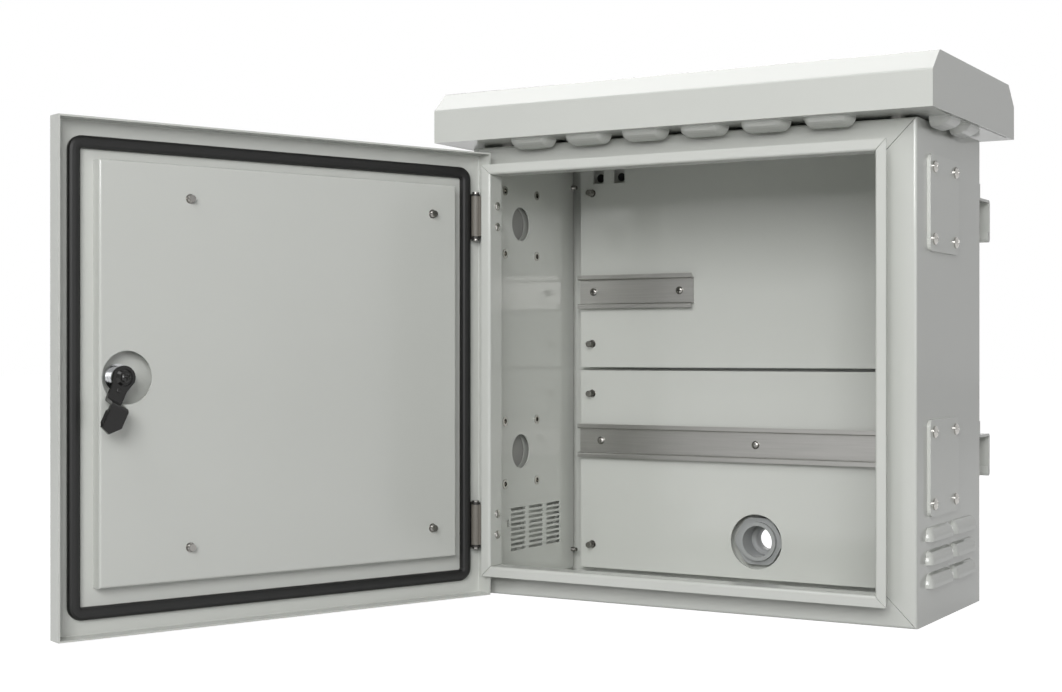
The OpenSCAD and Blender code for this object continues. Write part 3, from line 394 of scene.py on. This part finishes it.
# %% Square boss on the cam
CAM_ANGLE = math.radians(65)
BOSS_W, BOSS_T, BOSS_BEVEL = 3.6 * MM, 1.4 * MM, 0.5 * MM
BOSS_OUT, BOSS_DOWN = 16.4 * MM, 11.5 * MM
along_door = Vector((lock_axis.y, -lock_axis.x, 0.0))
arm = along_door * math.cos(CAM_ANGLE) - Vector((0, 0, 1)) * math.sin(CAM_ANGLE)
bm = bmesh.new()
bmesh.ops.create_cube(bm, size=1.0)
bmesh.ops.scale(bm, vec=(BOSS_W, BOSS_W, BOSS_T), verts=bm.verts)
upper = [edge for edge in bm.edges if all(vert.co.z > 0 for vert in edge.verts)]
upright = [edge for edge in bm.edges if abs(edge.verts[0].co.z - edge.verts[1].co.z) > BOSS_BEVEL]
bmesh.ops.bevel(bm, geom=upper + upright, offset=BOSS_BEVEL, affect="EDGES", segments=3, profile=0.5,
                material=-1)
spot = Vector(lock_turn["pos_m"]) + lock_axis * BOSS_OUT + arm * BOSS_DOWN
turned = Matrix((arm, lock_axis.cross(arm), lock_axis)).transposed().to_4x4()
bmesh.ops.transform(bm, matrix=Matrix.Translation(spot) @ turned, verts=bm.verts)
piece_from(bm, "cam_boss", "lock", gloss_black)

# %% [markdown]
# The welded studs are threaded. A thread could be a stack of rings, but rings don't climb. Here a zigzag is
# swept once round the stud while it climbs by one pitch, so that each tooth ends where the next one starts:
# the spin operator does both at once.

# %% Threads on the studs
THREAD_STEPS = 24
PITCH = 1.0 * MM
ROOT_IN, CREST_OUT, TIP_FREE = 0.05 * MM, 0.3 * MM, 0.3 * MM


def thread(bm, place, root_r, crest_r, start, end):
    turns = int((end - start) / PITCH) - 1
    before = set(bm.verts)
    verts = []
    for i in range(2 * turns + 1):
        radius = crest_r if i % 2 else root_r
        verts.append(bm.verts.new((radius, 0.0, start + i * PITCH / 2)))
    edges = [bm.edges.new(pair) for pair in zip(verts, verts[1:])]
    bmesh.ops.spin(bm, geom=verts + edges, cent=(0, 0, 0), axis=(0, 0, 1), dvec=(0, 0, PITCH / THREAD_STEPS),
                   angle=2 * math.pi, steps=THREAD_STEPS)
    bmesh.ops.transform(bm, matrix=place, verts=[vert for vert in bm.verts if vert not in before])


def dress_studs(node, body, out_of, stud_r, shown):
    bm = bmesh.new()
    for points in islands(node):
        place, reach, _ = along(points, out_of(sum(points, Vector()) / len(points)))
        thread(bm, place, stud_r - ROOT_IN, stud_r + CREST_OUT, reach - shown, reach - TIP_FREE)
    bmesh.ops.remove_doubles(bm, verts=bm.verts, dist=1e-6)
    piece_from(bm, node + "_thread", body, fastener_zinc, sharp=1.2)


def inwards(middle):
    return (-math.copysign(1.0, middle.x), 0, 0)


dress_studs("plate_studs", "cabinet", lambda middle: (0, -1, 0), 3.0 * MM, 8.0 * MM)
dress_studs("door_studs", "door", lambda middle: lock_axis, 3.0 * MM, 4.5 * MM)
dress_studs("lining_studs", "cabinet", inwards, 2.0 * MM, 6.0 * MM)

# %% [markdown]
# Inside the gland sits the sleeve that closes on the cable. It is a ring with a rounded mouth. A tube with
# a bevel would come close, but a cross-section drawn as a few points and spun round the gland's axis gives
# the mouth its true curve.

# %% Clamping sleeve of the gland
# Radius and depth from the gland's front, in mm.
SLEEVE = [(15.7, 23.6), (13.2, 23.6), (11.6, 24.2), (10.7, 25.4), (10.25, 27.0), (10.25, 35.5), (10.8, 36.6),
          (15.7, 36.6)]
gland_low, gland_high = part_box("gland_body")
gland_x, gland_z = (gland_low[0] + gland_high[0]) / 2, (gland_low[2] + gland_high[2]) / 2
bm = bmesh.new()
ring = [bm.verts.new((gland_x + radius * MM, gland_low[1] + depth * MM, gland_z)) for radius, depth in SLEEVE]
loop = [bm.edges.new(pair) for pair in zip(ring, ring[1:] + ring[:1])]
bmesh.ops.spin(bm, geom=ring + loop, cent=(gland_x, 0, gland_z), axis=(0, 1, 0), angle=2 * math.pi, steps=64,
               use_merge=True)
piece_from(bm, "gland_sleeve", "cabinet", gland_nylon, sharp=0.7)

# %% [markdown]
# Each cover plate closes its port with a foam pad, seen from inside as a darker disc at the bottom of the
# hole. Its grey is set darker than the coat, partly as the foam's own colour and partly as painted shade
# for the dim inside of the port. A pad is a flat cylinder laid on its side, a little smaller than the hole
# in the wall, so that it drops in freely. The cover's own box says where its inner face lies, and the
# record's opening says where the hole is.

# %% Foam pads in the ports
PORT_R = 17.0 * MM
PAD_T = 1.2 * MM
PAD_GAP = 0.3 * MM
bm = bmesh.new()
for opening in record["physics"]["openings"]:
    if not opening["name"].endswith("_port"):
        continue
    cover_low, cover_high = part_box(opening["name"].replace("_port", "_cover"))
    side = math.copysign(1.0, cover_low[0])
    seat_x = cover_low[0] if side > 0 else cover_high[0]
    middle = [(a + b) / 2 for a, b in zip(*opening["box_m"])]
    seat = Matrix.Translation((seat_x - side * PAD_T / 2, middle[1], middle[2]))
    lay = seat @ Matrix.Rotation(math.pi / 2, 4, "Y")
    bmesh.ops.create_cone(bm, cap_ends=True, segments=48, radius1=PORT_R - PAD_GAP, radius2=PORT_R - PAD_GAP,
                          depth=PAD_T, matrix=lay)
# The pads' darker grey is partly painted shade for the inside of the ports.
piece_from(bm, "port_pads", "cabinet", port_pad_painted_shade)

# %% [markdown]
# The stage is a wide white floor. More light would make it white too, but would bleach the cabinet. So the
# floor has a little light of its own, seen only by the camera and by reflections, and it keeps the soft
# shadow underneath.

# %% Floor
FLOOR_LIFT = 0.96
FLOOR_IN_MIRRORS = 0.65
floor_mesh = bpy.data.meshes.new("floor")
bm = bmesh.new()
bmesh.ops.create_grid(bm, x_segments=1, y_segments=1, size=12.0)
bmesh.ops.translate(bm, verts=bm.verts, vec=(0, 0, -0.5 * MM))
bm.to_mesh(floor_mesh)
bm.free()
floor = bpy.data.objects.new("floor", floor_mesh)
bpy.context.scene.collection.objects.link(floor)
floor_paint, tree = new_material("white_studio_floor")
path = add(tree, "ShaderNodeLightPath")
mirrored = add(tree, "ShaderNodeMath", {"operation": "MULTIPLY"},
               {0: path.outputs["Is Glossy Ray"], 1: FLOOR_IN_MIRRORS})
seen = add(tree, "ShaderNodeMath", {"operation": "MAXIMUM"},
           {0: path.outputs["Is Camera Ray"], 1: mirrored.outputs[0]})
lift = add(tree, "ShaderNodeMath", {"operation": "MULTIPLY"}, {0: seen.outputs[0], 1: FLOOR_LIFT})
matt = add(tree, "ShaderNodeBsdfDiffuse", inputs={"Color": (0.45, 0.45, 0.45, 1.0)})
glow = add(tree, "ShaderNodeEmission", inputs={"Color": (1.0, 1.0, 1.0, 1.0), "Strength": lift.outputs[0]})
both = add(tree, "ShaderNodeAddShader", inputs={0: matt.outputs[0], 1: glow.outputs[0]})
add(tree, "ShaderNodeOutputMaterial", inputs={"Surface": both.outputs[0]})
floor_mesh.materials.append(floor_paint)
print("floor:", [round(v, 1) for v in floor.dimensions])

# %% [markdown]
# The world is the studio around the floor. The camera sees it as white. Shiny surfaces see a room that is
# brighter behind the cabinet than in front of it, as a studio with a white sweep is. For everything else it
# is a faint fill, so that the lamps shape the folds.

# %% World
WORLD_FRONT, WORLD_BEHIND = 0.5, 0.75
WORLD_FILL = 0.12
world = bpy.data.worlds.new("studio")
bpy.context.scene.world = world
world.use_nodes = True
tree = world.node_tree
tree.nodes.clear()
path = add(tree, "ShaderNodeLightPath")
seen = add(tree, "ShaderNodeMath", {"operation": "MAXIMUM"},
           {0: path.outputs["Is Camera Ray"], 1: path.outputs["Is Transmission Ray"]})
look = add(tree, "ShaderNodeTexCoord").outputs["Generated"]
facing = add(tree, "ShaderNodeSeparateXYZ", inputs={"Vector": look})
studio = add(tree, "ShaderNodeMapRange", inputs={
    "Value": facing.outputs["Y"], "From Min": -0.6, "From Max": 0.2,
    "To Min": WORLD_FRONT, "To Max": WORLD_BEHIND})
mirrored = add(tree, "ShaderNodeMath", {"operation": "MULTIPLY"},
               {0: path.outputs["Is Glossy Ray"], 1: studio.outputs[0]})
bright = add(tree, "ShaderNodeMath", {"operation": "MAXIMUM"}, {0: seen.outputs[0], 1: mirrored.outputs[0]})
level = add(tree, "ShaderNodeMath", {"operation": "MAXIMUM"}, {0: bright.outputs[0], 1: WORLD_FILL})
sky = add(tree, "ShaderNodeBackground", inputs={"Color": (1.0, 1.0, 1.0, 1.0), "Strength": level.outputs[0]})
add(tree, "ShaderNodeOutputWorld", inputs={"Surface": sky.outputs[0]})
print("world nodes:", len(tree.nodes))

# %% [markdown]
# Five soft boxes light the cabinet: the main one from the front right, a second from high on the left, one
# on the roof, one behind for the views from there, and a weak one on the right wall. Each is a wide area
# lamp, because a small lamp would leave hard edges to the shadows of the roof and the rain lip.

# %% Lamps
# Name, place, aim, size in metres and power in watts.
LAMPS = [
    ("key_high_front", (-0.51, -1.91, 2.23), (0.0, 0.0, 0.25), (1.4, 1.2), 14.0),
    ("front_right", (0.85, -2.57, 1.15), (0.0, 0.0, 0.25), (1.4, 1.2), 45.0),
    ("roof_light", (-0.7, 0.5, 2.3), (0.0, -0.1, 0.45), (1.6, 1.0), 13.0),
    ("back_fill", (-0.9, 2.5, 1.5), (0.0, 0.0, 0.22), (1.4, 1.2), 18.0),
    ("right_fill", (1.6, -1.7, 0.6), (0.0, 0.0, 0.22), (1.0, 0.8), 4.5),
]
for name, place, aim, size, power in LAMPS:
    data = bpy.data.lights.new(name, "AREA")
    data.shape = "RECTANGLE"
    data.size, data.size_y = size
    data.energy = power
    lamp = bpy.data.objects.new(name, data)
    lamp.location = place
    lamp.rotation_euler = (Vector(aim) - Vector(place)).to_track_quat("-Z", "Y").to_euler()
    bpy.context.scene.collection.objects.link(lamp)
bpy.context.scene.view_settings.view_transform = "Standard"
print("lamps:", len(LAMPS))
